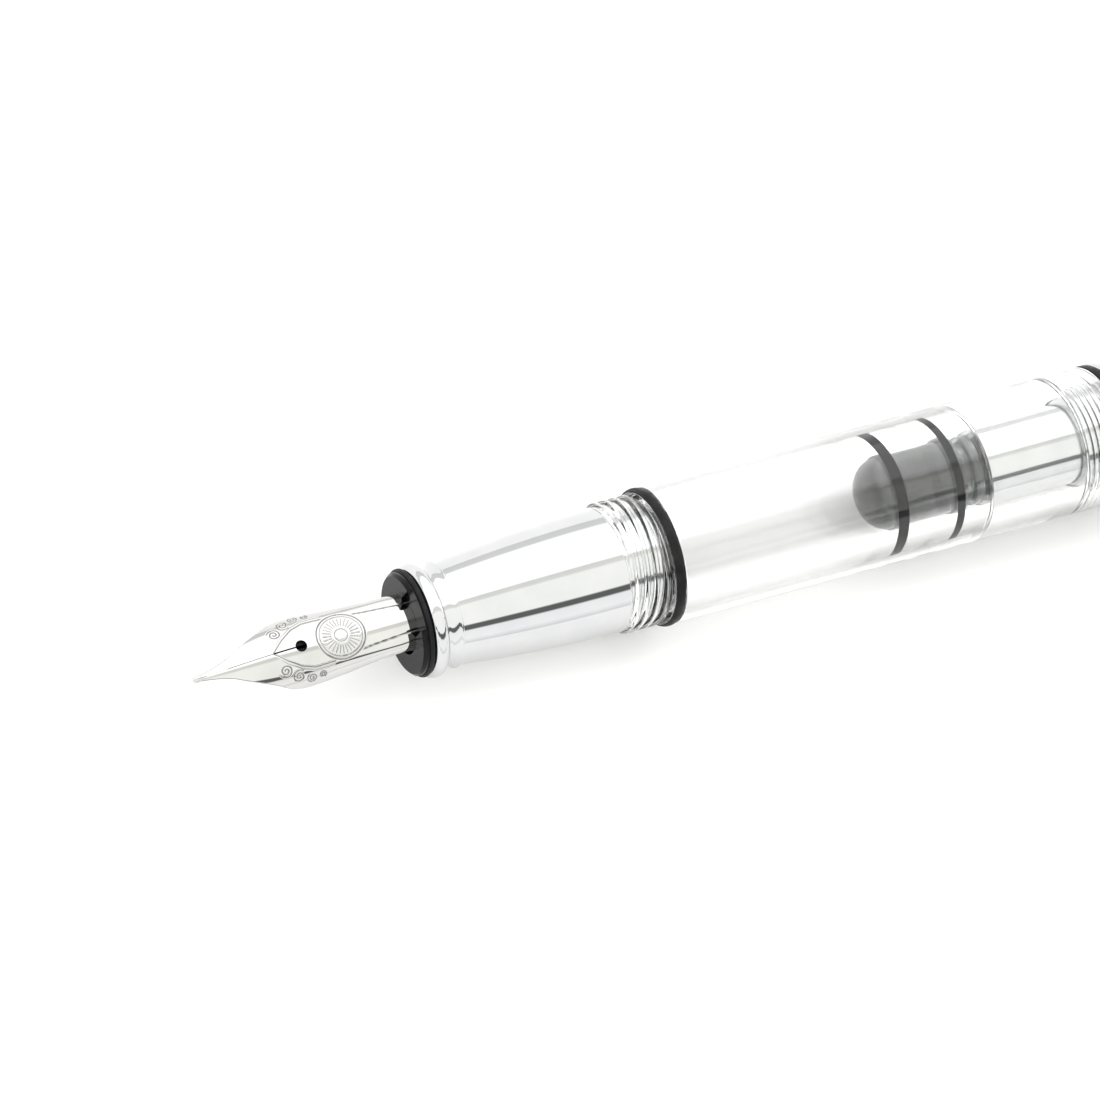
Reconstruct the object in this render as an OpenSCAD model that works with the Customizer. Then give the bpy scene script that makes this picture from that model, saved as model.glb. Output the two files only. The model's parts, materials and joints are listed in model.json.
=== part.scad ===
// Piston-filling fountain pen, uncapped, lying on its side with the nib's top facing up.
// All lengths are in millimetres.
// Stations along the pen ("u") are counted from the nib's writing tip towards the tail.
// The pen's axis runs along X, tip towards -X, and the origin is under the middle of the pen.

/* [Nib] */
// Length of nib that shows in front of the collar
nib_shown = 20.25; // [18:0.05:23]
// Radius of the nib's rolled body at its base
nib_base_r = 2.65; // [2.6:0.01:2.68]
// Thickness of the nib's sheet steel
nib_sheet = 0.3; // [0.25:0.05:0.3]
// Diameter of the breather hole
breather_d = 1.05; // [0.8:0.05:1.4]
// Distance from the tip to the breather hole
breather_u = 9.8; // [9:0.1:10.5]
// Width of the slit between the tines
slit_w = 0.08; // [0.06:0.01:0.15]

/* [Section] */
// Length of black collar that shows in front of the chrome lip
collar_shown = 1; // [0.9:0.05:1.6]
// Radius of the front collar ring
collar_r = 4.75; // [4.5:0.05:4.9]
// Radius of the chrome lip's bead
lip_r = 5.3; // [5.2:0.05:5.6]
// Length of the chrome lip
lip_len = 2.9; // [2.6:0.05:3.2]
// Radius of the grip just behind the lip
grip_front_r = 4.72; // [4.6:0.02:4.8]
// Radius of the grip where it meets the cap thread
grip_rear_r = 5.82; // [5.6:0.02:5.9]
// Length of the chrome grip
grip_len = 16.05; // [14:0.05:18]

/* [Barrel] */
// Length of the thread that takes the cap
thread_len = 4.35; // [4.1:0.05:4.6]
// Width of the O-ring that seals the cap
oring_w = 0.95; // [0.8:0.05:1.2]
// Radius over the crests of the cap thread
cap_thread_r = 6.15; // [6.1:0.05:6.3]
// Radius of the barrel just behind the front O-ring
barrel_front_r = 6.42; // [6.4:0.02:6.5]
// Radius of the barrel at its rear end
barrel_rear_r = 6.73; // [6.6:0.01:6.74]
// Length of the clear barrel behind the front O-ring
barrel_len = 46.6; // [45:0.1:50]
// Radius of the ink chamber's bore
bore_r = 3.66; // [3.5:0.02:3.8]

/* [Piston and knob] */
// Travel of the piston
stroke = 19; // [15:0.5:19]
// Radius of the chrome sleeve that guides the piston
sleeve_r = 3.85; // [3.8:0.01:4]
// Radius of the tail flange, the pen's widest part
flange_r = 6.75; // [6.75:0.01:7]
// Radius of the knob's straight stretch, over which a cap posts
knob_r = 6.1; // [5.8:0.05:6.3]
// Length of the clear knob
knob_len = 21.8; // [21:0.1:24]

/* [Hidden] */

fine = 96;        // facets of a turned part
gap = 0.05;       // radial clearance of an assembled fit
play = 0.02;      // radial clearance of the piston's seals in the bore

// Stations along the axis.
collar_u = nib_shown;
gasket_u = collar_u + collar_shown - 0.5;
lip_u = collar_u + collar_shown;
grip_u = lip_u + lip_len;
thread_u = grip_u + grip_len;
oring_u = thread_u + thread_len;
body_u = oring_u + oring_w;
barrel_end_u = body_u + barrel_len;
tenon_end_u = oring_u + 0.05;
neck_end_u = tenon_end_u + 1.15;
step_u = barrel_end_u - 13.9;
end_thread_u = barrel_end_u - 3.8;
flange_u = barrel_end_u + 1.2;
flange_end_u = flange_u + 2.3;
knob_u = flange_end_u + 0.2;
knob_end_u = knob_u + knob_len;
tail_u = knob_end_u + 4;
nib_end_u = collar_u + 7.5;

// Stations of the screw mechanism, counted back from the step in the bore.
plug_u = step_u - 11.6;
plug_end_u = step_u - 0.3;
seal_u = [plug_u + 1.6, plug_u + 7.9];
sleeve_u = step_u + 0.1;
nut_u = sleeve_u + 0.2;
nut_end_u = nut_u + 2;
rod_u = plug_end_u - 3;
rod_end_u = flange_end_u + 6;
shoulder_u = rod_end_u + 0.4;
thrust_u = shoulder_u + 0.5;
washer_u = thrust_u + 1.3;
clip_u = washer_u + 0.4;
sleeve_end_u = clip_u + 1;
hub_u = sleeve_end_u + 0.4;
hub_end_u = knob_end_u - 5;

seal_w = [1.4, 1.1];
dome = 1.5;
seal_root_r = 2.9;
plug_r = 3.45;
rod_r = 2.2;
rod_flat = 1.7;
spindle_r = 1.25;
counterbore_r = 4.4;
neck_bore_r = 5;
groove_r = 5.85;
collar_sleeve_r = 3.3;
liner_r = 4;
sleeve_bore_r = 2.9;
spigot_r = 4.2;
drive_r = 1.5;

tip_x = -tail_u / 2;
axis_z = flange_r;

// Nib stations: [u, radius of the rolled section, half of its wrap in degrees, height of its crest].
nib_form = [
    [0.55, 1.2, 14, 0.86], [1.3, 1.5, 16, 1.05], [3.3, 2.6, 22, 1.58], [4.3, 3, 29, 1.84],
    [5.5, 3.4, 36, 2.12], [6.7, 3.6, 44, 2.36], [8.5, 3.45, 67, 2.6], [9.6, 3.4, 76, 2.66],
    [11.3, 3.24, 82, 2.66], [13.8, 3, 90, 2.65], [15.7, 2.8, 96, 2.65],
    [18.6, nib_base_r, 100, nib_base_r], [nib_end_u, nib_base_r, 100, nib_base_r]];
nib_arc = 16;

function column(table, k) = [for (row = table) [row[0], row[k]]];
function nib_at(u) = [for (k = [1:3]) lookup(u, column(nib_form, k))];

// One closed cross-section of the nib's sheet at station u: out along the crest side, back inside.
function nib_ring(u) = let (f = nib_at(u), r = f[0], half = f[1], crest = f[2]) concat(
    [for (i = [0:nib_arc]) let (a = half * (2 * i / nib_arc - 1))
        [u, r * sin(a), crest - r + r * cos(a)]],
    [for (i = [nib_arc:-1:0]) let (a = half * (2 * i / nib_arc - 1), q = r - nib_sheet)
        [u, q * sin(a), crest - r + q * cos(a)]]);

// Joins closed rings of equal length into one solid with flat ends.
function ring_faces(rings, n) = concat(
    [for (i = [0:rings - 2], j = [0:n - 1]) let (a = i * n + j, b = i * n + (j + 1) % n)
        [a, b, b + n]],
    [for (i = [0:rings - 2], j = [0:n - 1]) let (a = i * n + j, b = i * n + (j + 1) % n)
        [a, b + n, a + n]]);
// A ring of the nib's sheet is a bent strip, so its end is closed by quads across the sheet.
function strip_cap(base, half_n, flip) = [for (j = [0:half_n - 2])
    let (a = base + j, b = base + j + 1, c = base + 2 * half_n - 2 - j, d = base + 2 * half_n - 1 - j)
        flip ? [a, b, c, d] : [d, c, b, a]];

// Places children with X as the pen's axis and u = 0 at the writing tip.
module place() translate([tip_x, 0, axis_z]) children();

// A turned part from points [radius, station].
module lathe(points) place() rotate([0, 90, 0]) rotate_extrude($fn = fine) polygon(points);

module tube(r_out, r_in, u0, u1)
    lathe([[r_in, u0], [r_out, u0], [r_out, u1], [r_in, u1]]);

module shaft(r, u0, u1)
    place() translate([u0, 0, 0]) rotate([0, 90, 0]) cylinder(r = r, h = u1 - u0, $fn = fine);

module hexagon(r, u0, u1)
    place() translate([u0, 0, 0]) rotate([0, 90, 0]) cylinder(r = r, h = u1 - u0, $fn = 6);

module block(u0, u1, y0, y1, z0, z1)
    place() translate([u0, y0, z0]) cube([u1 - u0, y1 - y0, z1 - z0]);

// Rings of O-ring section: a circle with its outer side at radius r, squeezed to width w.
function oring_points(r, w, u0, n = 12) = let (h = w / 2)
    [for (i = [0:n - 1]) let (a = 360 * i / n) [r - h + h * cos(a), u0 + h + h * sin(a)]];

// Crests and roots of a thread with parallel turns: count turns of the given pitch.
function thread_points(u0, pitch, count, crest, root) = [for (i = [0:count - 1], k = [0:3])
    [k == 1 || k == 2 ? crest : root, u0 + pitch * (i + [0.1, 0.28, 0.72, 0.9][k])]];

module nib_blank() {
    stations = concat([for (u = [0.55, 1.3, 2.3, 3.3, 4.3, 5.5, 6.7, 7.6, 8.5, 9.6, 11.3, 13.8, 15.7,
        18.6, nib_end_u]) u]);
    n = 2 * (nib_arc + 1);
    count = len(stations);
    place() polyhedron(
        points = [for (u = stations) each nib_ring(u)],
        faces = concat(ring_faces(count, n), strip_cap(0, nib_arc + 1, false),
                       strip_cap((count - 1) * n, nib_arc + 1, true)));
}

module nib() color("silver") difference() {
    nib_blank();
    block(-1, breather_u, -slit_w / 2, slit_w / 2, -1, 4);
    place() translate([breather_u, 0, 0]) cylinder(d = breather_d, h = 5, $fn = 48);
}

// Two writing pellets, one on each tine.
module nib_tipping() color("lightgray") intersection() {
    difference() {
        place() translate([0.38, 0, 0.66]) sphere(r = 0.38, $fn = 32);
        block(-1, 2, -slit_w / 2, slit_w / 2, -1, 3);
    }
    block(-1, 0.53, -2, 2, -2, 3);
}

module feed() color([0.1, 0.1, 0.11]) difference() {
    union() {
        intersection() {
            shaft(2.3, 3.4, nib_end_u + 2);
            place() rotate([90, 0, 0]) translate([0, 0, -3]) linear_extrude(6) polygon([
                [3.4, 0.55], [3.6, 1], [9, 2.2], [10.5, 3], [nib_end_u + 3, 3],
                [nib_end_u + 3, -3], [13, -3], [9.5, -1.6], [6, -0.35]]);
            place() translate([0, 0, -3]) linear_extrude(6) polygon([
                [3.4, -0.35], [6, -1.1], [9.5, -2], [12, -3], [nib_end_u + 3, -3],
                [nib_end_u + 3, 3], [12, 3], [9.5, 2], [6, 1.1], [3.4, 0.35]]);
        }
        shaft(1.5, nib_end_u + 1, nib_end_u + 8);
    }
    // ink channel along the crest, and the comb of buffer fins underneath
    block(3, nib_end_u + 9, -0.15, 0.15, 0.6, 3);
    for (i = [0:8])
        block(10.8 + 0.95 * i, 11.2 + 0.95 * i, -3, 3, -3, -0.7);
}

module nib_collar() color([0.12, 0.12, 0.13]) difference() {
    lathe([[2.7, collar_u], [collar_r - 0.25, collar_u], [collar_r, collar_u + 0.25],
           [collar_r, gasket_u], [collar_sleeve_r, gasket_u], [collar_sleeve_r, nib_end_u + 6],
           [1.6, nib_end_u + 6], [1.6, nib_end_u + 2.1], [2.7, nib_end_u + 2.1]]);
    // the front ring is open over the crown of the nib
    block(collar_u - 1, gasket_u - 0.1, -1.9, 1.9, 1.9, 6);
}

module collar_gasket() color([0.08, 0.08, 0.08])
    lathe([[collar_sleeve_r + gap, gasket_u + gap], [4.85, gasket_u + gap], [5, gasket_u + 0.15],
           [5, lip_u - 0.12], [4.9, lip_u], [collar_sleeve_r + gap, lip_u]]);

// A round bead in front, a hollow behind it, and a small raised rim at the back.
function lip_outline() = let (bead = 0.75) concat(
    [for (i = [0:10]) let (a = -90 + 18 * i) [lip_r - bead + bead * cos(a), lip_u + bead + bead * sin(a)]],
    [for (i = [1:5]) let (t = i / 6) [lip_r - bead + 0.02 - 0.13 * sin(180 * t)
        + (grip_front_r + 0.22 - lip_r + bead) * t * t, lip_u + 2 * bead + (lip_len - 2 * bead - 0.15) * t]],
    [[grip_front_r + 0.22, grip_u - 0.15], [grip_front_r + 0.16, grip_u]]);

module section_lip() color("gainsboro")
    lathe(concat([[collar_sleeve_r + gap, lip_u]], lip_outline(), [[collar_sleeve_r + gap, grip_u]]));

// The grip swells quickly behind the lip and then runs nearly straight.
function grip_radius(t) = grip_front_r + (grip_rear_r - grip_front_r) * (1 - pow(1 - t, 1.8));

module section_grip() color("gainsboro")
    lathe(concat(
        [[liner_r + gap, grip_u]],
        [for (i = [0:16]) [grip_radius(i / 16), grip_u + grip_len * i / 16]],
        [[neck_bore_r - gap, thread_u], [neck_bore_r - gap, tenon_end_u],
         [liner_r + gap, tenon_end_u]]));

module section_liner() color([0.85, 0.88, 0.9, 0.6])
    lathe([[collar_sleeve_r + gap, grip_u + gap], [liner_r, grip_u + gap], [liner_r, tenon_end_u],
           [2.4, tenon_end_u], [2.4, tenon_end_u - 2.4], [collar_sleeve_r + gap, tenon_end_u - 3.9]]);

module section_oring() color([0.05, 0.05, 0.05])
    lathe(oring_points(neck_bore_r - 0.02, 1, tenon_end_u + 0.1));

module cap_oring() color([0.05, 0.05, 0.05])
    lathe([[groove_r + 0.01, oring_u], [6.3, oring_u], [6.44, oring_u + 0.12], [6.5, oring_u + 0.35],
           [6.5, body_u - 0.35], [6.44, body_u - 0.12], [6.3, body_u - 0.02],
           [groove_r + 0.01, body_u - 0.02]]);

// One turned piece: threaded neck for the cap, O-ring groove, body, ink chamber, counterbore.
module barrel() color([0.9, 0.94, 0.96, 0.4])
    lathe(concat(
        [[neck_bore_r, thread_u + gap], [5.75, thread_u + gap]],
        thread_points(thread_u + 0.1, 0.95, 4, cap_thread_r, 5.75),
        [[5.85, oring_u - 0.2], [6.1, oring_u], [groove_r, oring_u], [groove_r, body_u],
         [barrel_front_r - 0.15, body_u], [barrel_front_r, body_u + 0.2],
         [barrel_rear_r, barrel_end_u - 0.15], [barrel_rear_r - 0.15, barrel_end_u],
         [4.95, barrel_end_u], [4.95, end_thread_u], [counterbore_r, end_thread_u],
         [counterbore_r, step_u], [bore_r, step_u], [bore_r, neck_end_u],
         [neck_bore_r, neck_end_u]]));

module barrel_end_oring() color([0.05, 0.05, 0.05])
    lathe([[5, barrel_end_u + 0.01], [6.5, barrel_end_u + 0.01], [6.68, barrel_end_u + 0.2],
           [6.72, barrel_end_u + 0.6], [6.68, flange_u - 0.2], [6.5, flange_u - 0.01],
           [5, flange_u - 0.01]]);

module piston_plug() color([0.3, 0.31, 0.32])
    lathe(concat(
        [[0, plug_u]],
        [for (i = [1:8]) let (a = 90 * i / 8) [plug_r * sin(a), plug_u + dome - dome * cos(a)]],
        [for (k = [0, 1]) each [[plug_r, seal_u[k]], [seal_root_r, seal_u[k]],
                                [seal_root_r, seal_u[k] + seal_w[k]], [plug_r, seal_u[k] + seal_w[k]]]],
        [[plug_r, plug_end_u - 1.9], [2.7, plug_end_u - 1.6], [2.7, plug_end_u - 0.9],
         [3.3, plug_end_u - 0.9], [3.3, plug_end_u], [1.55, plug_end_u], [1.55, rod_u - 0.1],
         [0, rod_u - 0.1]]));

module piston_seal(u0, w) color([0.05, 0.05, 0.05])
    lathe([[seal_root_r + 0.01, u0 + 0.03], [bore_r - 0.15, u0 + 0.03], [bore_r - play, u0 + 0.15],
           [bore_r - play, u0 + w - 0.15], [bore_r - 0.15, u0 + w - 0.03],
           [seal_root_r + 0.01, u0 + w - 0.03]]);

// The rod has two flats that stop it turning, and a bored rear end that rides on the spindle.
module piston_rod() color([0.92, 0.92, 0.9]) difference() {
    union() {
        intersection() {
            shaft(rod_r, plug_end_u + 0.02, rod_end_u);
            block(plug_end_u, rod_end_u + 1, -rod_flat, rod_flat, -3, 3);
        }
        shaft(1.5, rod_u, plug_end_u + 1);
    }
    shaft(spindle_r + gap, nut_u - 0.5, rod_end_u + 1);
}

module guide_nut() color([0.16, 0.16, 0.17]) difference() {
    shaft(sleeve_bore_r - 0.01, nut_u, nut_end_u);
    intersection() {
        shaft(rod_r + gap, nut_u - 1, nut_end_u + 1);
        block(nut_u - 1, nut_end_u + 1, -rod_flat - gap, rod_flat + gap, -3, 3);
    }
}

// Chrome guide tube, barrel thread, tail flange and the spigot that the knob turns on.
module mechanism_sleeve() color("gainsboro")
    lathe(concat(
        [[sleeve_bore_r, sleeve_u], [sleeve_r, sleeve_u], [sleeve_r, end_thread_u + 0.1]],
        thread_points(end_thread_u + 0.15, 0.6, 6, 4.85, 4.5),
        [[4.9, barrel_end_u], [4.9, flange_u], [flange_r - 0.2, flange_u], [flange_r, flange_u + 0.2],
         [flange_r, flange_end_u - 0.2], [flange_r - 0.2, flange_end_u],
         [spigot_r, flange_end_u], [spigot_r, flange_end_u + 2], [3.7, flange_end_u + 2],
         [3.7, flange_end_u + 3.2], [spigot_r, flange_end_u + 3.2], [spigot_r, sleeve_end_u],
         [sleeve_bore_r, sleeve_end_u], [sleeve_bore_r, clip_u + 0.6], [3.3, clip_u + 0.6],
         [3.3, clip_u], [sleeve_bore_r, clip_u], [sleeve_bore_r, thrust_u], [2.3, thrust_u],
         [2.3, shoulder_u], [sleeve_bore_r, shoulder_u]]));

// Four-start screw with a thrust collar and a hexagonal end that drives it from the knob.
module spindle() color("goldenrod") difference() {
    union() {
        place() translate([nut_end_u + 0.5, 0, 0]) rotate([0, 90, 0])
            linear_extrude(rod_end_u - nut_end_u - 0.5, twist = -360 * (rod_end_u - nut_end_u - 0.5) / 8,
                           slices = 72)
                for (k = [0:3]) rotate(90 * k) translate([0.45, 0]) circle(r = 0.75, $fn = 20);
        shaft(1.2, rod_end_u - 1, thrust_u + 0.2);
        shaft(2.75, thrust_u + gap, washer_u);
        shaft(1.5, washer_u - 0.1, hub_u);
        hexagon(drive_r, hub_u - 0.2, hub_end_u - 0.6);
    }
    shaft(0.65, hub_end_u - 4, hub_end_u);
}

module thrust_washer() color([0.9, 0.9, 0.86])
    tube(2.8, 1.6, washer_u + 0.02, clip_u - 0.02);

// Spring clip that snaps into the sleeve's groove and holds the spindle in.
module spindle_clip() color("dimgray") difference() {
    tube(3.25, 2.2, clip_u + 0.04, clip_u + 0.54);
    block(clip_u - 1, clip_u + 2, -0.8, 0.8, 1, 4);
}

module knob_friction_ring() color([0.05, 0.05, 0.05])
    lathe([[3.72, flange_end_u + 2.1], [4.2, flange_end_u + 2.1], [4.27, flange_end_u + 2.4],
           [4.27, flange_end_u + 2.8], [4.2, flange_end_u + 3.1], [3.72, flange_end_u + 3.1]]);

module knob() color([0.9, 0.94, 0.96, 0.4]) difference() {
    lathe([[spigot_r + 0.1, knob_u], [flange_r - 0.25, knob_u], [flange_r - 0.1, knob_u + 0.2],
           [knob_r, knob_u + 7], [knob_r, knob_end_u], [2.05, knob_end_u], [2.05, hub_end_u + 1],
           [0, hub_end_u + 1], [0, hub_u], [spigot_r + 0.1, hub_u]]);
    hexagon(drive_r + gap, hub_u - 0.5, hub_end_u);
    shaft(0.85, hub_end_u - 0.5, hub_end_u + 2);
}

module knob_screw() color("silver") difference() {
    union() {
        shaft(0.6, hub_end_u - 3.6, hub_end_u + 1.1);
        shaft(1.6, hub_end_u + 1.02, hub_end_u + 1.9);
    }
    block(hub_end_u + 1.5, hub_end_u + 3, -2, 2, -0.2, 0.2);
}

// Domed chrome end piece with a plug that presses into the knob.
module knob_finial() color("gainsboro")
    lathe(concat(
        [[0, hub_end_u + 2.2], [2, hub_end_u + 2.2], [2, knob_end_u + 0.02], [knob_r - 0.1, knob_end_u + 0.02],
         [knob_r, knob_end_u + 0.15], [knob_r, knob_end_u + 0.7], [knob_r - 0.35, knob_end_u + 0.9]],
        [for (i = [0:8]) let (a = 90 * i / 8) [(knob_r - 0.35) * cos(a), knob_end_u + 0.95
            + (tail_u - knob_end_u - 0.95) * sin(a)]]));

nib();
nib_tipping();
feed();
nib_collar();
collar_gasket();
section_lip();
section_grip();
section_liner();
section_oring();
cap_oring();
barrel();
barrel_end_oring();
piston_plug();
piston_seal(seal_u[0], seal_w[0]);  // piston_seal_front
piston_seal(seal_u[1], seal_w[1]);  // piston_seal_rear
piston_rod();
guide_nut();
mechanism_sleeve();
spindle();
thrust_washer();
spindle_clip();
knob_friction_ring();
knob();
knob_screw();
knob_finial();
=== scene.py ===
"""Looks of a clear piston-filling fountain pen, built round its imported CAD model.

Lengths in the tables are millimetres. Along the pen they are stations: the distance from the
nib's writing tip towards the tail. station() turns one into metres along the frame's X axis.
"""
import json
import math

import bpy
import numpy as np
from mathutils import Matrix, Vector


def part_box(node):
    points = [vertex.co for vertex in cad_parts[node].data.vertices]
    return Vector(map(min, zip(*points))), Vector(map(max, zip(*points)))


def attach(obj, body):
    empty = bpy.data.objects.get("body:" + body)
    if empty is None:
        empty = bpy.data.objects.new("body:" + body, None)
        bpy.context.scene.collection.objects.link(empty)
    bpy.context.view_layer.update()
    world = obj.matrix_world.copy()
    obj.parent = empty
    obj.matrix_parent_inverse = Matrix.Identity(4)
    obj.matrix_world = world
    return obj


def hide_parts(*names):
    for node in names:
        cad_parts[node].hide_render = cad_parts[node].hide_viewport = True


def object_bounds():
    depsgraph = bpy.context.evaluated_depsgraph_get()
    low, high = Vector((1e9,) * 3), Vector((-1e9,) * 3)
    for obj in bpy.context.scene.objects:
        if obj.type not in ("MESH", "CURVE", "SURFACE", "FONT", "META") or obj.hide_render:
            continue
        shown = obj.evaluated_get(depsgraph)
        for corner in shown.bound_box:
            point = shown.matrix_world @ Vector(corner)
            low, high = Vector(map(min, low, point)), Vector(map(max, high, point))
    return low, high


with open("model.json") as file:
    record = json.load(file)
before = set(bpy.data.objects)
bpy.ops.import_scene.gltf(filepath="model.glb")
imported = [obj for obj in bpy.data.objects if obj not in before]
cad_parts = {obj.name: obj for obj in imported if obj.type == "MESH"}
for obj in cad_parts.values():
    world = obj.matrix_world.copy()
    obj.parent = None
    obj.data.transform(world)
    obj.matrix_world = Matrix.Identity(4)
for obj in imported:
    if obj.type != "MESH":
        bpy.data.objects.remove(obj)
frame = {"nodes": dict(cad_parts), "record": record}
CAD_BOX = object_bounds()
MM = 0.001

TIP_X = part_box("nib_tipping")[0].x
AXIS_Z = (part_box("barrel")[0].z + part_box("barrel")[1].z) / 2


def station(u):
    return TIP_X + u * MM


def start_of(node):
    return (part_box(node)[0].x - TIP_X) / MM


def end_of(node):
    return (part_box(node)[1].x - TIP_X) / MM


def radius_of(node):
    return (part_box(node)[1].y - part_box(node)[0].y) / 2 / MM


# ---------------------------------------------------------------- places taken from the frame
COLLAR_U = start_of("nib_collar")
LIP_U = start_of("section_lip")
GRIP_U = end_of("section_lip")
THREAD_U = start_of("barrel")
ORING_U = start_of("cap_oring")
BODY_U = end_of("cap_oring") + 0.02
BARREL_END_U = end_of("barrel")
NIB_END_U = end_of("nib")
PLUG_U = start_of("piston_plug")
PLUG_END_U = end_of("piston_plug")
STEP_U = PLUG_END_U + 0.3
END_THREAD_U = BARREL_END_U - 3.8
BORE_R = radius_of("piston_seal_front") + 0.02


# ---------------------------------------------------------------- nodes and materials
class Shader:
    """A small helper that adds and links nodes in one material's tree."""

    def __init__(self, name):
        self.material = bpy.data.materials.new(name)
        self.material.use_nodes = True
        self.tree = self.material.node_tree
        self.bsdf = self.tree.nodes["Principled BSDF"]
        self.place = self.add("ShaderNodeTexCoord").outputs["Object"]

    def add(self, kind, inputs=None, **settings):
        node = self.tree.nodes.new(kind)
        for key, value in settings.items():
            setattr(node, key, value)
        for key, value in (inputs or {}).items():
            if isinstance(value, bpy.types.NodeSocket):
                self.tree.links.new(value, node.inputs[key])
            else:
                node.inputs[key].default_value = value
        return node

    def grain(self, per_mm, stretch=(1, 1, 1), detail=3.0):
        """Noise with per_mm cells a millimetre, drawn out along an axis by a stretch below 1."""
        scale = [s * per_mm / MM for s in stretch]
        mapped = self.add("ShaderNodeMapping", {"Vector": self.place, "Scale": scale})
        noise = self.add("ShaderNodeTexNoise",
                         {"Vector": mapped.outputs[0], "Scale": 1.0, "Detail": detail})
        return noise.outputs["Fac"]

    def spread(self, value, low, high, start=0.3, stop=0.7):
        return self.add("ShaderNodeMapRange", {"Value": value, "From Min": start, "From Max": stop,
                                               "To Min": low, "To Max": high}).outputs[0]

    def tint(self, value, dark, light):
        ramp = self.add("ShaderNodeMix", {"Factor": value}, data_type="RGBA")
        ramp.inputs["A"].default_value = (*dark, 1)
        ramp.inputs["B"].default_value = (*light, 1)
        self.tree.links.new(ramp.outputs["Result"], self.bsdf.inputs["Base Color"])

    def bump(self, value, depth_mm, strength=1.0, under=None):
        inputs = {"Height": value, "Distance": depth_mm * MM, "Strength": strength}
        if under is not None:
            inputs["Normal"] = under
        return self.add("ShaderNodeBump", inputs).outputs["Normal"]

    def set(self, **sockets):
        for key, value in sockets.items():
            socket = self.bsdf.inputs[key.replace("_", " ")]
            if isinstance(value, bpy.types.NodeSocket):
                self.tree.links.new(value, socket)
            else:
                socket.default_value = value
        return self


def metal(name, dark, light, rough, rubbed=(1, 1, 1), rub_depth=0.0004, rub_per_mm=8):
    """Bare metal: clouded roughness, a slight change of tint, and fine rubbing marks."""
    s = Shader(name)
    s.tint(s.spread(s.grain(0.35), 0, 1), dark, light)
    marks = s.grain(rub_per_mm, rubbed, 5.0)
    s.set(Metallic=1.0, Roughness=s.spread(s.grain(1.3, detail=6.0), *rough),
          Normal=s.bump(marks, rub_depth))
    return s.material


def engraved_metal(name, bright, shade, rough):
    """Polished nib steel. The mesh's "engraved" attribute marks its cut lines and edges: they are
    rougher there, and their base colour is darkened towards the shade colour as painted shade.
    """
    s = Shader(name)
    cut = s.add("ShaderNodeAttribute", attribute_name="engraved").outputs["Fac"]
    clouds = s.spread(s.grain(0.35), 0, 0.12)
    shaded = s.add("ShaderNodeMath", {0: cut, 1: clouds}, operation="MAXIMUM").outputs[0]
    # Painted shade: the base colour darkens towards the shade colour in the cut lines and along the
    # nib's edges.
    s.tint(shaded, bright, shade)
    s.set(Metallic=1.0, Roughness=s.spread(cut, *rough, 0, 1),
          Normal=s.bump(s.grain(9, (0.25, 1, 1), 5.0), 0.0003))
    return s.material


def plastic(name, dark, light, rough, pit_per_mm=14, pit_depth=0.002, ior=1.5):
    """Moulded or turned plastic or rubber, opaque, with a fine skin."""
    s = Shader(name)
    s.tint(s.spread(s.grain(0.8, detail=5.0), 0, 1), dark, light)
    s.set(Roughness=s.spread(s.grain(2.2, detail=6.0), *rough), IOR=ior,
          Normal=s.bump(s.grain(pit_per_mm, detail=4.0), pit_depth))
    return s.material


def clear(name, rough=(0.0, 0.02), streak_depth=0.005):
    """Polished acrylic, with faint streaks drawn out along the pen by moulding and polishing."""
    s = Shader(name)
    s.tint(s.spread(s.grain(0.2), 0, 1), (0.975, 0.98, 0.98), (0.995, 0.995, 0.99))
    streaks = s.grain(2.2, (0.05, 1, 1), 3.0)
    s.set(Roughness=s.spread(s.grain(0.6, (0.1, 1, 1)), *rough), IOR=1.49,
          Normal=s.bump(streaks, streak_depth))
    s.bsdf.inputs["Transmission Weight"].default_value = 1.0
    return s.material


def smoky(name):
    """Dark translucent plastic: light is absorbed on its way through."""
    s = Shader(name)
    s.tint(s.spread(s.grain(0.5), 0, 1), (0.80, 0.82, 0.81), (0.92, 0.93, 0.92))
    s.set(Roughness=s.spread(s.grain(1.5, detail=5.0), 0.01, 0.04), IOR=1.5,
          Normal=s.bump(s.grain(3, (0.3, 1, 1)), 0.0004))
    s.bsdf.inputs["Transmission Weight"].default_value = 1.0
    volume = s.add("ShaderNodeVolumeAbsorption")
    volume.inputs["Color"].default_value = (0.30, 0.33, 0.32, 1)
    volume.inputs["Density"].default_value = 600.0
    output = s.tree.nodes["Material Output"]
    s.tree.links.new(volume.outputs[0], output.inputs["Volume"])
    return s.material


def spindle_brass():
    """Turned brass with tool rings round the axis."""
    return metal("spindle_brass", (0.62, 0.43, 0.17), (0.75, 0.56, 0.27), (0.18, 0.34),
                 (6, 0.4, 0.4), 0.002, 3)


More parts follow.
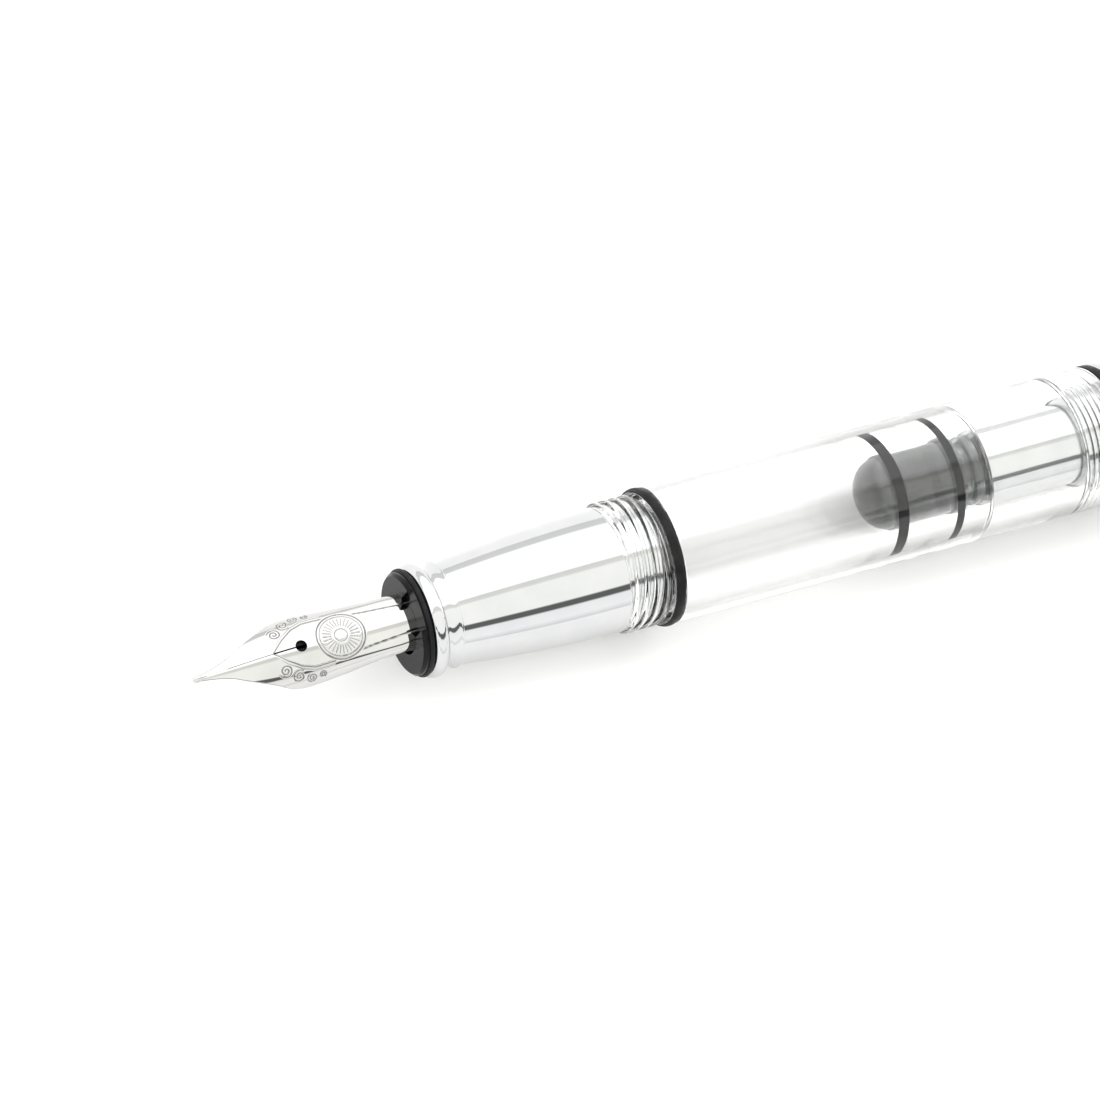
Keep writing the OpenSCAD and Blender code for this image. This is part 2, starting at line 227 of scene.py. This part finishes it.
MATERIALS = {
    "nib_steel": engraved_metal("nib_steel", (0.51, 0.505, 0.495), (0.13, 0.13, 0.13), (0.04, 0.3)),
    "tipping_metal": metal("tipping_metal", (0.46, 0.46, 0.46), (0.54, 0.54, 0.54), (0.12, 0.26),
                           rub_depth=0.0006, rub_per_mm=20),
    "black_plastic": plastic("black_plastic", (0.003, 0.003, 0.0035), (0.008, 0.008, 0.009),
                             (0.12, 0.24), 6, 0.0012, 1.18),
    "black_rubber": plastic("black_rubber", (0.004, 0.004, 0.0045), (0.014, 0.014, 0.015),
                            (0.36, 0.56), 18, 0.003, 1.2),
    "chrome": metal("chrome", (0.49, 0.495, 0.5), (0.525, 0.525, 0.53), (0.012, 0.04),
                    (0.3, 1, 1), 0.00015, 6),
    "clear_acrylic": clear("clear_acrylic"),
    "smoky_plastic": smoky("smoky_plastic"),
    "white_plastic": plastic("white_plastic", (0.72, 0.72, 0.69), (0.82, 0.82, 0.80), (0.3, 0.45)),
    "grey_plastic": plastic("grey_plastic", (0.05, 0.05, 0.055), (0.09, 0.09, 0.095), (0.3, 0.5)),
    "spindle_brass": spindle_brass(),
    "spring_steel": metal("spring_steel", (0.32, 0.32, 0.33), (0.45, 0.45, 0.46), (0.2, 0.35),
                          (4, 1, 1), 0.001, 6),
}
SLOT_OF = {p["node"]: p["material_slot"] for p in frame["record"]["subparts"]}


def dress(obj, slot):
    obj.data.materials.clear()
    obj.data.materials.append(MATERIALS[slot])


for node, obj in frame["nodes"].items():
    dress(obj, SLOT_OF[node])


# ---------------------------------------------------------------- building pieces
def finish_piece(name, mesh, body, replaced):
    obj = bpy.data.objects.new(name, mesh)
    bpy.context.scene.collection.objects.link(obj)
    slot = SLOT_OF[replaced]
    dress(obj, slot)
    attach(obj, body)
    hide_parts(replaced)
    return obj


def softened(corners, ease=0.08, steps=4):
    """A closed outline of (radius, station) with eased corners: its points and outward normals."""
    corners = [np.array(c, float) for c in corners]
    nxt = corners[1:] + corners[:1]
    area = sum(a[0] * b[1] - b[0] * a[1] for a, b in zip(corners, nxt))
    side = 1 if area > 0 else -1
    points, normals = [], []

    def note(point, tangent):
        tangent = tangent / np.linalg.norm(tangent)
        points.append(point)
        normals.append(side * np.array([tangent[1], -tangent[0]]))

    for before, here, after in zip(corners[-1:] + corners[:-1], corners, nxt):
        back, ahead = before - here, after - here
        reach_back, reach_ahead = np.linalg.norm(back), np.linalg.norm(ahead)
        if here[0] < 1e-9:
            note(here, ahead if after[0] > 1e-9 else -back)
            continue
        cut = min(ease, 0.45 * reach_back, 0.45 * reach_ahead)
        start, stop = here + back / reach_back * cut, here + ahead / reach_ahead * cut
        for t in np.linspace(0, 1, steps + 1):
            point = (1 - t) ** 2 * start + 2 * t * (1 - t) * here + t * t * stop
            note(point, (1 - t) * (here - start) + t * (stop - here))
    return np.array(points), np.array(normals)


def turned(name, outline, body, replaced, segments=192, relief=None):
    """A lathe-turned piece. relief(station, angle, radius) adds height to the turned surface."""
    points, normals = outline
    count = len(points)
    angles = np.linspace(0, 2 * math.pi, segments, endpoint=False)
    radius = np.repeat(points[:, :1], segments, 1)
    along = np.repeat(points[:, 1:], segments, 1)
    n_r = np.repeat(normals[:, :1], segments, 1)
    n_u = np.repeat(normals[:, 1:], segments, 1)
    n_a = np.zeros_like(n_r)
    if relief is not None:
        turn = np.repeat(angles[None, :], count, 0)
        small = 1e-4
        height = relief(along, turn, radius)
        slope_u = (relief(along + small, turn, radius) - height) / small
        slope_a = (relief(along, turn + small, radius) - height) / small / np.maximum(radius, 0.1)
        n_u = n_u - slope_u * n_r
        n_a = n_a - slope_a * n_r
        radius = radius + height
    size = np.sqrt(n_r ** 2 + n_u ** 2 + n_a ** 2)
    sin, cos = np.sin(angles)[None, :], np.cos(angles)[None, :]
    place = np.stack([TIP_X + along * MM, radius * MM * sin, AXIS_Z + radius * MM * cos], -1)
    facing = np.stack([n_u / size, (n_r * sin + n_a * cos) / size,
                       (n_r * cos - n_a * sin) / size], -1)

    index, vertices, vertex_normals = [], [], []
    for i in range(count):
        if points[i, 0] < 1e-9:
            index.append([len(vertices)] * segments)
            vertices.append(place[i, 0])
            vertex_normals.append((math.copysign(1, normals[i, 1]), 0, 0))
        else:
            index.append(range(len(vertices), len(vertices) + segments))
            vertices.extend(place[i])
            vertex_normals.extend(facing[i])
    faces = []
    for i in range(count):
        a, b = index[i], index[(i + 1) % count]
        for j in range(segments):
            k = (j + 1) % segments
            ring = list(dict.fromkeys((a[j], b[j], b[k], a[k])))
            if len(ring) > 2:
                faces.append(ring)
    mesh = bpy.data.meshes.new(name)
    mesh.from_pydata([tuple(v) for v in vertices], [], faces)
    if signed_volume(mesh) < 0:
        mesh.flip_normals()
    mesh.shade_smooth()
    mesh.normals_split_custom_set([tuple(vertex_normals[l.vertex_index]) for l in mesh.loops])
    return finish_piece(name, mesh, body, replaced)


def signed_volume(mesh):
    mesh.calc_loop_triangles()
    co = np.array([v.co for v in mesh.vertices])
    tri = np.array([t.vertices for t in mesh.loop_triangles])
    a, b, c = co[tri[:, 0]], co[tri[:, 1]], co[tri[:, 2]]
    return float(np.einsum("ij,ij->i", a, np.cross(b, c)).sum())


def ramp(x, low, high):
    """0 below low, 1 above high, and a smooth rise between."""
    t = np.clip((x - low) / (high - low), 0, 1)
    return t * t * (3 - 2 * t)


def thread(u, angle, start, stop, pitch, starts, height, run_out):
    """Height of a helical thread's rounded crests at a station and an angle round the axis."""
    phase = (u - start) / pitch - starts * angle / (2 * math.pi)
    wave = 0.5 + 0.5 * np.cos(2 * math.pi * phase)
    crest = ramp(wave, 0.18, 0.82)
    window = ramp(u, start, start + run_out) * (1 - ramp(u, stop - run_out, stop))
    return height * crest * window


# ---------------------------------------------------------------- clear barrel
def spaced(first, last, step):
    """Stations from first to last, about a step apart, in either direction."""
    return np.linspace(first, last, int(round(abs(last - first) / step)) + 1)


CAP_THREAD = dict(start=THREAD_U + 0.1, stop=ORING_U - 0.15, pitch=0.95, starts=3, height=0.36,
                  run_out=0.35)
FINE_THREAD = dict(start=END_THREAD_U + 0.1, stop=BARREL_END_U - 0.1, pitch=0.6, starts=1,
                   height=-0.14, run_out=0.2)
THREAD_ROOT_R = 5.75
GROOVE_R = 6.15
NECK_BORE_R = 5.0
COUNTERBORE_R = 4.4
END_BORE_R = 4.95
BARREL_FRONT_R = 6.42
BARREL_REAR_R = radius_of("barrel")


def barrel_relief(u, angle, radius):
    outside = (radius > THREAD_ROOT_R - 0.1) & (u < ORING_U - 0.1)
    inside = (radius > 4.9) & (radius < 5.2) & (u > END_THREAD_U)
    return (np.where(outside, thread(u, angle, **CAP_THREAD), 0)
            - np.where(inside, thread(u, angle, **FINE_THREAD), 0))


def barrel():
    front, body, end = THREAD_U, BODY_U, BARREL_END_U
    neck = [(THREAD_ROOT_R, u) for u in spaced(front + 0.1, ORING_U - 0.2, 0.07)]
    inner_thread = [(END_BORE_R, u) for u in spaced(end - 0.06, END_THREAD_U + 0.06, 0.06)]
    chamber = ORING_U + 1.2
    outline = softened(
        [(NECK_BORE_R, front), (THREAD_ROOT_R - 0.05, front)] + neck
        + [(6.2, ORING_U - 0.1), (6.2, ORING_U), (GROOVE_R, ORING_U + 0.02), (GROOVE_R, body),
           (BARREL_FRONT_R - 0.02, body), (BARREL_REAR_R, end), (5.05, end)]
        + inner_thread
        + [(COUNTERBORE_R, END_THREAD_U), (COUNTERBORE_R, STEP_U), (BORE_R, STEP_U),
           (BORE_R, chamber), (NECK_BORE_R, chamber)], ease=0.12, steps=3)
    return turned("clear_barrel", outline, "pen", "barrel", 256, barrel_relief)


barrel()


# ---------------------------------------------------------------- rings, lip and grip
def band(name, node, inner, shoulder, ease):
    """A plain ring that fills its CAD node's box, with rounded outer edges."""
    start, end, outer = start_of(node), end_of(node), radius_of(node)
    turned(name, softened([(inner, start), (shoulder, start), (outer, start + ease),
                           (outer, end - ease), (shoulder, end), (inner, end)], 0.12), "pen", node)


band("cap_seal", "cap_oring", GROOVE_R + 0.01, 6.32, 0.28)
band("collar_ring", "collar_gasket", 3.36, 4.85, 0.13)

LIP_R = radius_of("section_lip")
GRIP_FRONT_R = 4.72
GRIP_REAR_R = radius_of("section_grip")
LINER_R = 4.05


def lip_and_grip():
    """A bead, a hollow and a small rim, and then the grip that swells towards the barrel."""
    bead, rim = 0.75, GRIP_FRONT_R + 0.22
    length = GRIP_U - LIP_U
    front = [(LIP_R - bead + bead * math.cos(a), LIP_U + bead + bead * math.sin(a))
             for a in np.linspace(-math.pi / 2, math.pi / 2, 15)]
    hollow = [(LIP_R - bead + 0.02 - 0.13 * math.sin(math.pi * t) + (rim - LIP_R + bead) * t * t,
               LIP_U + 2 * bead + (length - 2 * bead - 0.15) * t)
              for t in np.linspace(0.12, 0.9, 8)]
    turned("lip", softened([(3.36, LIP_U)] + front + hollow
                           + [(rim, GRIP_U - 0.15), (rim - 0.03, GRIP_U), (3.36, GRIP_U)], 0.05),
           "pen", "section_lip")
    swell = [(GRIP_FRONT_R + (GRIP_REAR_R - GRIP_FRONT_R) * (1 - (1 - t) ** 1.8),
              GRIP_U + 0.01 + (THREAD_U - GRIP_U - 0.06) * t) for t in np.linspace(0, 1, 40)]
    tenon = end_of("section_grip")
    turned("grip", softened([(LINER_R, GRIP_U + 0.01)] + swell
                            + [(NECK_BORE_R - 0.05, THREAD_U - 0.05), (NECK_BORE_R - 0.05, tenon),
                               (LINER_R, tenon)], 0.06), "pen", "section_grip")


lip_and_grip()


# ---------------------------------------------------------------- piston
def piston():
    seals = (("front_seal", "piston_seal_front"), ("rear_seal", "piston_seal_rear"))
    reach = start_of("piston_seal_front") - PLUG_U - 0.1
    dome = [(3.42 * math.sin(a), PLUG_U + reach * (1 - math.cos(a)))
            for a in np.linspace(0, math.pi / 2, 13)]
    dome[0] = (0, PLUG_U)
    seats = []
    for _, node in seals:
        seats += [(3.42, start_of(node) - 0.03), (2.9, start_of(node) - 0.03),
                  (2.9, end_of(node) + 0.03), (3.42, end_of(node) + 0.03)]
    turned("smoky_piston", softened(
        dome + seats + [(3.42, PLUG_END_U - 1.9), (2.7, PLUG_END_U - 1.6), (2.7, PLUG_END_U - 0.9),
                        (3.3, PLUG_END_U - 0.9), (3.3, PLUG_END_U), (1.55, PLUG_END_U),
                        (1.55, PLUG_END_U - 3.1), (0, PLUG_END_U - 3.1)], 0.1),
        "piston", "piston_plug")
    wet = BORE_R + 0.012
    for name, node in seals:
        u, end = start_of(node), end_of(node)
        turned(name, softened([(2.91, u), (wet - 0.18, u), (wet, u + 0.1), (wet, end - 0.1),
                               (wet - 0.18, end), (2.91, end)], 0.06), "piston", node)


piston()


# ---------------------------------------------------------------- nib
# Station, crown radius, half of the wrap in degrees, half width, crest's height over the axis.
NIB_FORM = np.array([
    [0.55, 1.2, 14, 0.29, 0.86], [1.3, 1.5, 16, 0.413, 1.05], [3.3, 2.6, 22, 0.974, 1.58],
    [4.3, 3.0, 29, 1.454, 1.84], [5.5, 3.4, 36, 2.0, 2.12], [6.7, 3.7, 44, 2.5, 2.36],
    [8.5, 4.0, 67, 3.18, 2.6], [9.6, 4.2, 76, 3.3, 2.66], [11.3, 4.2, 82, 3.21, 2.66],
    [13.8, 4.1, 90, 3.0, 2.65], [15.7, 4.1, 96, 2.8, 2.65], [18.6, 4.1, 100, 2.65, 2.65],
    [20.4, 3.8, 100, 2.65, 2.65], [22.5, 2.65, 100, 2.65, 2.65],
    [NIB_END_U, 2.65, 100, 2.65, 2.65]])
NIB_SHEET = 0.3
NIB_HOLE_U = 9.8
NIB_HOLE_R = 0.525
NIB_SLIT = 0.05
OPEN_SLIT = 0.13
CROWN_DEG = 31
NIB_EDGE_EASE = 0.05
ENGRAVING_DEPTH = 0.05


def smooth_column(table, column, u):
    """Monotone cubic through one column of a table, at the stations u."""
    x, y = table[:, 0], table[:, column]
    step, rise = np.diff(x), np.diff(y) / np.diff(x)
    slope = np.zeros_like(y)
    for k in range(1, len(x) - 1):
        if rise[k - 1] * rise[k] > 0:
            w1, w2 = 2 * step[k] + step[k - 1], step[k] + 2 * step[k - 1]
            slope[k] = (w1 + w2) / (w1 / rise[k - 1] + w2 / rise[k])
    slope[0], slope[-1] = rise[0], rise[-1]
    k = np.clip(np.searchsorted(x, u) - 1, 0, len(x) - 2)
    t = (u - x[k]) / step[k]
    return ((1 + 2 * t) * (1 - t) ** 2 * y[k] + t * (1 - t) ** 2 * step[k] * slope[k]
            + t * t * (3 - 2 * t) * y[k + 1] + t * t * (t - 1) * step[k] * slope[k + 1])


def nib_section(u, share):
    """Across (towards +Y), height and normal angle of the nib's outer face, share from -1 to 1."""
    crown, wrap, half, crest = (float(smooth_column(NIB_FORM, c, np.array([u]))[0])
                                for c in (1, 2, 3, 4))
    wrap, bend = math.radians(wrap), math.radians(CROWN_DEG)
    full = min(wrap, math.pi / 2)
    if wrap <= bend:
        crown, flank = half / math.sin(wrap), 0.0
    else:
        flank = (half - crown * math.sin(bend)) / (math.sin(full) - math.sin(bend))
    angle = wrap * np.abs(share)
    first = np.minimum(angle, bend)
    across = crown * np.sin(first) + flank * (np.sin(angle) - np.sin(first))
    drop = crown * (1 - np.cos(first)) + flank * (np.cos(first) - np.cos(angle))
    arc = crown * first + flank * (angle - first)
    side = np.sign(share)
    return side * across, crest - drop, side * angle, side * arc


def groove(distance, width):
    """Depth share of an engraved line at a distance from its middle."""
    return 1 - ramp(np.abs(distance), width * 0.25, width * 0.75)


def spiral(u, s, centre, turns, inner, outer, side, tilt):
    """Distance to a spiral scroll, wound from inner to outer radius."""
    du, ds = u - centre[0], (s - centre[1]) * side
    radius = np.hypot(du, ds)
    angle = (np.arctan2(ds, du) + math.radians(tilt)) % (2 * math.pi)
    best = np.full_like(radius, 9.0)
    for k in range(turns):
        want = inner + (outer - inner) * (angle / (2 * math.pi) + k) / turns
        best = np.minimum(best, np.abs(radius - want))
    return best


MEDALLION_U = 13.6
MEDALLION_R = 2.25
FRAME_POINT_U = 7.2
# Scrolls at the shoulders: station and distance from the crest, outer radius, turns, tilt.
SCROLLS = (((7.9, 1.8), 0.62, 2, 200), ((9.0, 2.6), 0.6, 2, 40),
           ((10.2, 3.05), 0.5, 2, 120), ((11.2, 3.0), 0.36, 2, 300))


def engraving(u, s):
    """Depth share, 0 to 1, of the nib's engraved ornament at station u and arc length s."""
    away = np.abs(s)
    edge = np.interp(u, [FRAME_POINT_U, 8.3, 9.4, 10.6, 12.4, 16.2, 20.5],
                     [0.0, 1.0, 1.75, 2.15, 2.1, 1.62, 1.3])
    inside = (u > FRAME_POINT_U)
    from_centre = np.hypot(u - MEDALLION_U, 1.05 * s)
    clear_of_ring = ramp(from_centre, MEDALLION_R + 0.12, MEDALLION_R + 0.3)
    line = groove(away - edge, 0.13) * inside * clear_of_ring
    depth = 0.9 * line
    behind = (u > FRAME_POINT_U + 0.5) & (u < 12.4)
    depth = np.maximum(depth, 0.55 * groove(away - edge - 0.28, 0.1) * behind)
    depth = np.maximum(depth, groove(from_centre - MEDALLION_R, 0.13))
    depth = np.maximum(depth, 0.8 * groove(from_centre - MEDALLION_R + 0.27, 0.09))
    turn = np.arctan2(s, u - MEDALLION_U)
    rays = 28
    ray = np.abs(((turn * rays / (2 * math.pi)) % 1) - 0.5) * from_centre * 2 * math.pi / rays
    ray_zone = ramp(from_centre, 0.82, 0.95) * (1 - ramp(from_centre, 1.7, 1.83))
    depth = np.maximum(depth, 0.75 * groove(ray, 0.1) * ray_zone)
    depth = np.maximum(depth, 0.8 * groove(from_centre - 0.6, 0.1))
    for side in (-1, 1):
        for centre, outer, turns, tilt in SCROLLS:
            near = np.hypot(u - centre[0], s - side * centre[1])
            curl = spiral(u, s, (centre[0], side * centre[1]), turns, 0.06, outer, side, tilt)
            within = 1 - ramp(near, outer - 0.02, outer + 0.06)
            depth = np.maximum(depth, groove(curl, 0.1) * within)
    return depth


def nib():
    """The nib as a closed sheet: a fine engraved outer face and a plain inner face."""
    rows = np.concatenate([np.linspace(0.55, 7.2, 96, endpoint=False),
                           np.linspace(7.2, 16.4, 184, endpoint=False),
                           np.linspace(16.4, COLLAR_U + 0.6, 44, endpoint=False),
                           np.linspace(COLLAR_U + 0.6, NIB_END_U, 8)])
    shares = np.linspace(-1, 1, 181)
    outer, inner, groove_and_edge_shade = [], [], []
    for u in rows:
        across, height, angle, arc = nib_section(u, shares)
        cut = engraving(np.full_like(arc, u), arc)
        from_edge = np.abs(arc[-1]) - np.abs(arc)
        # Painted shade for the "engraved" attribute: the cut lines, and a band about 0.13 mm wide
        # along the nib's edges at 0.62, are darkened in the steel's base colour.
        groove_and_edge_shade.append(np.maximum(cut, 0.62 * (1 - ramp(from_edge, 0.05, 0.13))))
        rim = NIB_EDGE_EASE * (1 - ramp(from_edge, 0, 0.09))
        sunk = ENGRAVING_DEPTH * cut + rim
        sin, cos = np.sin(angle), np.cos(angle)
        x = np.full_like(arc, station(u))
        for side, below in ((outer, sunk), (inner, NIB_SHEET - rim)):
            side.append(np.stack([x, (across - below * sin) * MM,
                                  AXIS_Z + (height - below * cos) * MM], -1))
    outer, inner = np.array(outer), np.array(inner)[:, ::6]
    r, c, ci = len(rows), len(shares), inner.shape[1]
    verts = [tuple(v) for v in outer.reshape(-1, 3)] + [tuple(v) for v in inner.reshape(-1, 3)]
    top = lambda i, j: i * c + j
    low = lambda i, j: r * c + i * ci + j
    faces = [(top(i, j), top(i + 1, j), top(i + 1, j + 1), top(i, j + 1))
             for i in range(r - 1) for j in range(c - 1)]
    faces += [(low(i, j), low(i, j + 1), low(i + 1, j + 1), low(i + 1, j))
              for i in range(r - 1) for j in range(ci - 1)]
    for i in range(r - 1):
        faces.append((top(i, 0), low(i, 0), low(i + 1, 0), top(i + 1, 0)))
        faces.append((top(i, c - 1), top(i + 1, c - 1), low(i + 1, ci - 1), low(i, ci - 1)))
    for j in range(ci - 1):
        group = range(j * 6, j * 6 + 7)
        faces.append((*[top(0, k) for k in group], low(0, j + 1), low(0, j)))
        faces.append((*[top(r - 1, k) for k in reversed(group)], low(r - 1, j), low(r - 1, j + 1)))
    mesh = bpy.data.meshes.new("engraved_nib")
    mesh.from_pydata(verts, [], faces)
    if signed_volume(mesh) < 0:
        mesh.flip_normals()
    engraved = mesh.attributes.new("engraved", "FLOAT", "POINT")
    engraved.data.foreach_set("value", np.concatenate([np.array(groove_and_edge_shade).ravel(), np.zeros(r * ci)]))
    obj = finish_piece("engraved_nib", mesh, "pen", "nib")
    carve(obj, slit_cutter(-1, NIB_SLIT))
    carve(obj, slit_cutter(FRAME_POINT_U, OPEN_SLIT))
    carve(obj, hole_cutter())
    obj.data.shade_smooth()
    obj.data.set_sharp_from_angle(angle=math.radians(38))
    return obj


def slit_cutter(start, width):
    """A blade from a station up to the breather hole."""
    bpy.ops.mesh.primitive_cube_add(size=1)
    cutter = bpy.context.active_object
    cutter.scale = ((NIB_HOLE_U - start) * MM, width * MM, 0.006)
    cutter.location = (station((NIB_HOLE_U + start) / 2), 0, AXIS_Z + 0.001)
    return cutter


def hole_cutter():
    bpy.ops.mesh.primitive_cylinder_add(vertices=96, radius=NIB_HOLE_R * MM, depth=0.006)
    cutter = bpy.context.active_object
    cutter.location = (station(NIB_HOLE_U), 0, AXIS_Z + 0.004)
    return cutter


def carve(obj, cutter):
    """Cuts the cutter out of obj and deletes the cutter."""
    cut = obj.modifiers.new("cut", "BOOLEAN")
    cut.operation, cut.object, cut.solver = "DIFFERENCE", cutter, "MANIFOLD"
    bpy.context.view_layer.update()
    evaluated = obj.evaluated_get(bpy.context.evaluated_depsgraph_get())
    shape = bpy.data.meshes.new_from_object(evaluated)
    obj.modifiers.clear()
    obj.data = shape
    bpy.data.objects.remove(cutter)


nib()


# ---------------------------------------------------------------- writing pellets
def tipping():
    """Two half pellets, one on each tine, with the slit between them."""
    length, width, height = 1.3, 0.62, 0.6
    verts, faces = [], []
    rings, round_ = 20, 24
    for side in (-1, 1):
        base = len(verts)
        for i in range(rings + 1):
            t = i / rings
            girth = math.sin(math.pi * min(t * 1.08, 1) ** 0.62) ** 0.72 if 0 < t < 1 else 0.02
            girth = max(girth, 0.62 * ramp(t, 0.45, 0.9))
            for k in range(round_ + 1):
                a = math.pi * k / round_
                y = side * (NIB_SLIT / 2 + girth * width / 2 * math.sin(a))
                z = 0.62 + 0.22 * t + girth * height / 2 * math.cos(a)
                verts.append((station(t * length), y * MM, AXIS_Z + z * MM))
        n = round_ + 1
        for i in range(rings):
            for k in range(n):
                m = (k + 1) % n
                near, far = base + i * n, base + (i + 1) * n
                quad = (near + k, near + m, far + m, far + k)
                faces.append(quad if side > 0 else quad[::-1])
        faces.append(tuple(base + k for k in (range(n) if side < 0 else reversed(range(n)))))
        last = base + rings * n
        faces.append(tuple(last + k for k in (range(n) if side > 0 else reversed(range(n)))))
    mesh = bpy.data.meshes.new("tip_pellets")
    mesh.from_pydata(verts, [], faces)
    if signed_volume(mesh) < 0:
        mesh.flip_normals()
    mesh.shade_smooth()
    mesh.set_sharp_from_angle(angle=math.radians(50))
    return finish_piece("tip_pellets", mesh, "pen", "nib_tipping")


tipping()


# ---------------------------------------------------------------- camera, light, floor
VIEW_TILT = math.radians(21.8)      # the tail leans away from the camera by this much
VIEW_SIDE = math.radians(13.5)      # the camera stands this far to the side of the nib's top
VIEW_ROLL = math.radians(15.2)      # the pen rises to the right in the picture
VIEW_DISTANCE = 400.0
LENS_MM = 144.1
SENSOR_MM = 36.0
# The picture's middle, seen from the front of the cap O-ring: right, down and away, in mm.
AIM_FROM_ORING = Vector((-8.65, -0.765, 0.0))


def make_camera():
    """A long lens looking steeply down on the pen, whose tip points down to the left."""
    tail = Vector((math.cos(VIEW_TILT) * math.cos(VIEW_ROLL),
                   -math.cos(VIEW_TILT) * math.sin(VIEW_ROLL), math.sin(VIEW_TILT)))
    towards = (Vector((0, 0, -1)) + tail * math.sin(VIEW_TILT)) / math.cos(VIEW_TILT)
    across = towards.cross(tail)
    up = math.cos(VIEW_SIDE) * towards + math.sin(VIEW_SIDE) * across
    left = up.cross(tail)
    to_pen = Matrix((tail, left, up))
    oring = Vector((station(ORING_U), 0, AXIS_Z))
    place = oring - to_pen @ Vector((-AIM_FROM_ORING.x, -AIM_FROM_ORING.y, VIEW_DISTANCE)) * MM
    right, down, away = (to_pen @ Vector(v) for v in ((1, 0, 0), (0, 1, 0), (0, 0, 1)))
    data = bpy.data.cameras.new("camera")
    data.lens, data.sensor_width = LENS_MM, SENSOR_MM
    data.clip_start, data.clip_end = 0.01, 10
    camera = bpy.data.objects.new("camera", data)
    camera.matrix_world = Matrix((
        (right.x, -down.x, -away.x, place.x), (right.y, -down.y, -away.y, place.y),
        (right.z, -down.z, -away.z, place.z), (0, 0, 0, 1)))
    bpy.context.scene.collection.objects.link(camera)
    bpy.context.scene.camera = camera


# Light all round the pen's axis: degrees from straight up towards the -Y side, and its colour.
STUDIO = [
    (-180, (0.5, 0.5, 0.5)), (-88, (0.5, 0.5, 0.5)), (-76, (0.52, 0.52, 0.52)),
    (-71, (1.0, 1.0, 1.0)), (-6, (1.0, 1.0, 1.0)), (-3, (0.54, 0.54, 0.51)),
    (4, (0.56, 0.56, 0.53)), (7, (0.73, 0.735, 0.71)), (48, (0.72, 0.725, 0.70)),
    (50, (0.09, 0.09, 0.09)), (59, (0.09, 0.09, 0.09)), (62, (0.67, 0.67, 0.67)),
    (80, (0.7, 0.7, 0.7)), (92, (0.5, 0.5, 0.5)), (180, (0.5, 0.5, 0.5))]
STUDIO_STRENGTH = 2.4


def light_studio():
    """A world whose brightness depends only on the angle round the pen's axis."""
    world = bpy.data.worlds.new("studio")
    bpy.context.scene.world = world
    world.use_nodes = True
    nodes, links = world.node_tree.nodes, world.node_tree.links
    coordinate = nodes.new("ShaderNodeTexCoord")
    split = nodes.new("ShaderNodeSeparateXYZ")
    links.new(coordinate.outputs["Generated"], split.inputs[0])
    flip = nodes.new("ShaderNodeMath")
    flip.operation = "MULTIPLY"
    flip.inputs[1].default_value = -1
    links.new(split.outputs["Y"], flip.inputs[0])
    angle = nodes.new("ShaderNodeMath")
    angle.operation = "ARCTAN2"
    links.new(flip.outputs[0], angle.inputs[0])
    links.new(split.outputs["Z"], angle.inputs[1])
    share = nodes.new("ShaderNodeMapRange")
    share.inputs["From Min"].default_value = -math.pi
    share.inputs["From Max"].default_value = math.pi
    links.new(angle.outputs[0], share.inputs["Value"])
    bands = nodes.new("ShaderNodeValToRGB")
    links.new(share.outputs[0], bands.inputs[0])
    stops = bands.color_ramp.elements
    while len(stops) < len(STUDIO):
        stops.new(0.5)
    for stop, (degrees, colour) in zip(stops, STUDIO):
        stop.position = (degrees + 180) / 360
        stop.color = (*colour, 1)
    background = nodes["Background"]
    background.inputs["Strength"].default_value = STUDIO_STRENGTH
    links.new(bands.outputs[0], background.inputs["Color"])


def lay_floor():
    """A plain pale floor just under the pen."""
    half = 0.6
    corners = [(-half, -half, 0), (half, -half, 0), (half, half, 0), (-half, half, 0)]
    mesh = bpy.data.meshes.new("floor")
    mesh.from_pydata(corners, [], [(0, 1, 2, 3)])
    floor = bpy.data.objects.new("floor", mesh)
    bpy.context.scene.collection.objects.link(floor)
    floor.location.z = CAD_BOX[0].z - 0.00002
    s = Shader("floor")
    s.tint(s.spread(s.grain(0.02), 0, 1), (0.89, 0.89, 0.89), (0.91, 0.91, 0.91))
    s.set(Roughness=0.9)
    mesh.materials.append(s.material)


make_camera()
light_studio()
lay_floor()
scene = bpy.context.scene
scene.view_settings.view_transform = "Standard"
scene.cycles.max_bounces = 24
scene.cycles.transmission_bounces = 24
scene.cycles.glossy_bounces = 8
scene.cycles.diffuse_bounces = 3
